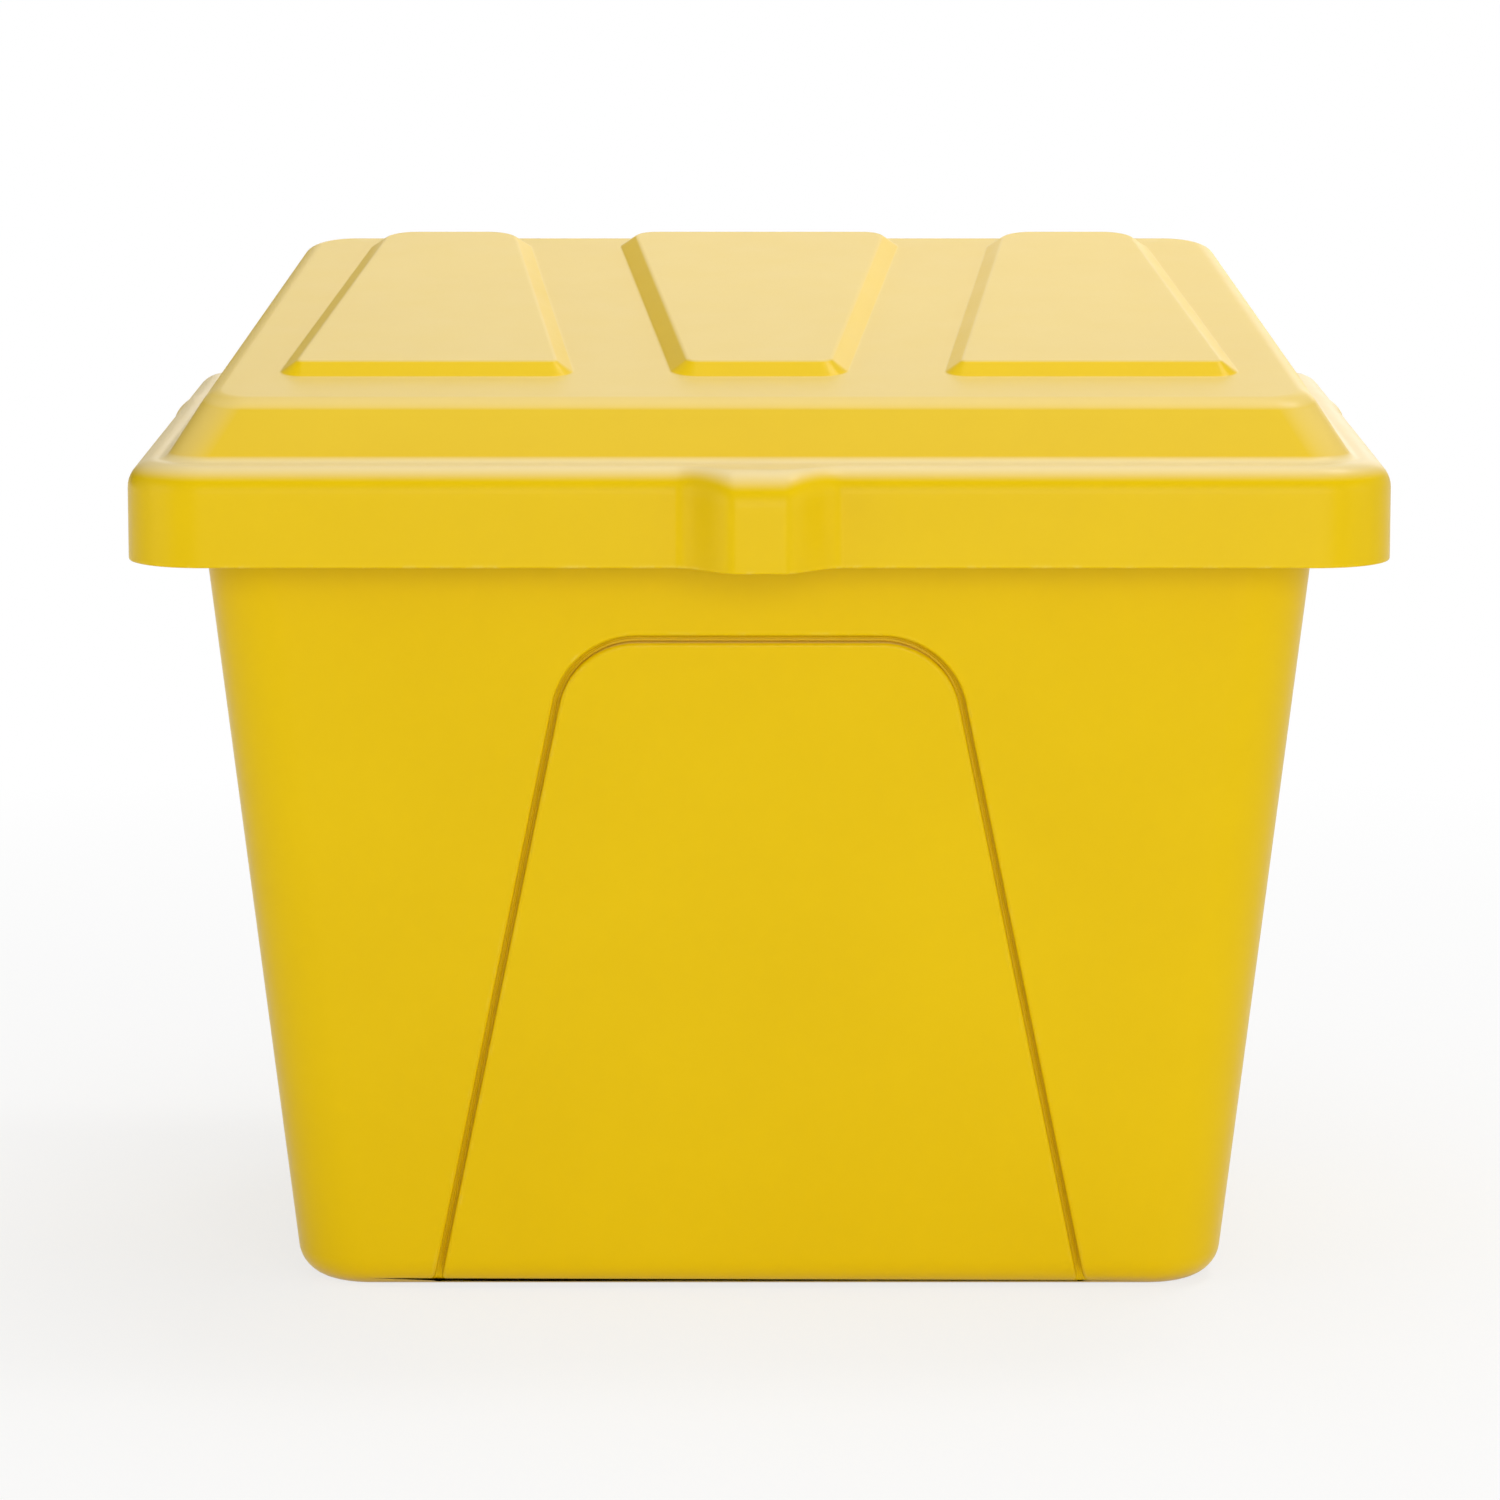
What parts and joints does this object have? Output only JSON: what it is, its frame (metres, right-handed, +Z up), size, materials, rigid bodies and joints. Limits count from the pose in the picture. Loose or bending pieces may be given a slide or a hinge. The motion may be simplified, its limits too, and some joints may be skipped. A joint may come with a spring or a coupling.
{
  "type": "lidded storage bin",
  "caption": "Yellow moulded storage bin with a tapered tub, an arched groove on its front and a deep skirted lid with a raised padded top that swings up on bolted steel hinges.",
  "frame": {"origin": "middle of the flat base, on the surface that the bin stands on", "axes": "+Z up, -Y towards the front with the lifting nose, +X to the right seen from the front, along the longest side"},
  "size_m": [0.8432, 0.702, 0.6919],
  "materials": {
    "bin_plastic": "semi-gloss moulded polyethylene",
    "lid_plastic": "semi-gloss moulded polyethylene",
    "hinge_zinc": "zinc plated, satin",
    "fastener_steel": "bright, lightly worn"
  },
  "bodies": {
    "body": {"bin_body": "bin_plastic", "left_hinge_body_leaf": "hinge_zinc", "left_hinge_pin": "fastener_steel", "left_body_leaf_bolts": "fastener_steel", "left_body_leaf_washers": "fastener_steel", "left_body_leaf_nuts": "fastener_steel", "right_hinge_body_leaf": "hinge_zinc", "right_hinge_pin": "fastener_steel", "right_body_leaf_bolts": "fastener_steel", "right_body_leaf_washers": "fastener_steel", "right_body_leaf_nuts": "fastener_steel"},
    "lid": {"lid": "lid_plastic", "left_hinge_lid_leaf": "hinge_zinc", "left_lid_leaf_bolts": "fastener_steel", "left_lid_leaf_washers": "fastener_steel", "left_lid_leaf_nuts": "fastener_steel", "right_hinge_lid_leaf": "hinge_zinc", "right_lid_leaf_bolts": "fastener_steel", "right_lid_leaf_washers": "fastener_steel", "right_lid_leaf_nuts": "fastener_steel"}
  },
  "joints": [
    {"name": "lid_hinge", "type": "hinge", "parent": "body", "child": "lid", "pos_m": [0, 0.3276, 0.503], "axis": [-1, 0, 0], "range_deg": [0, 108]}
  ]
}
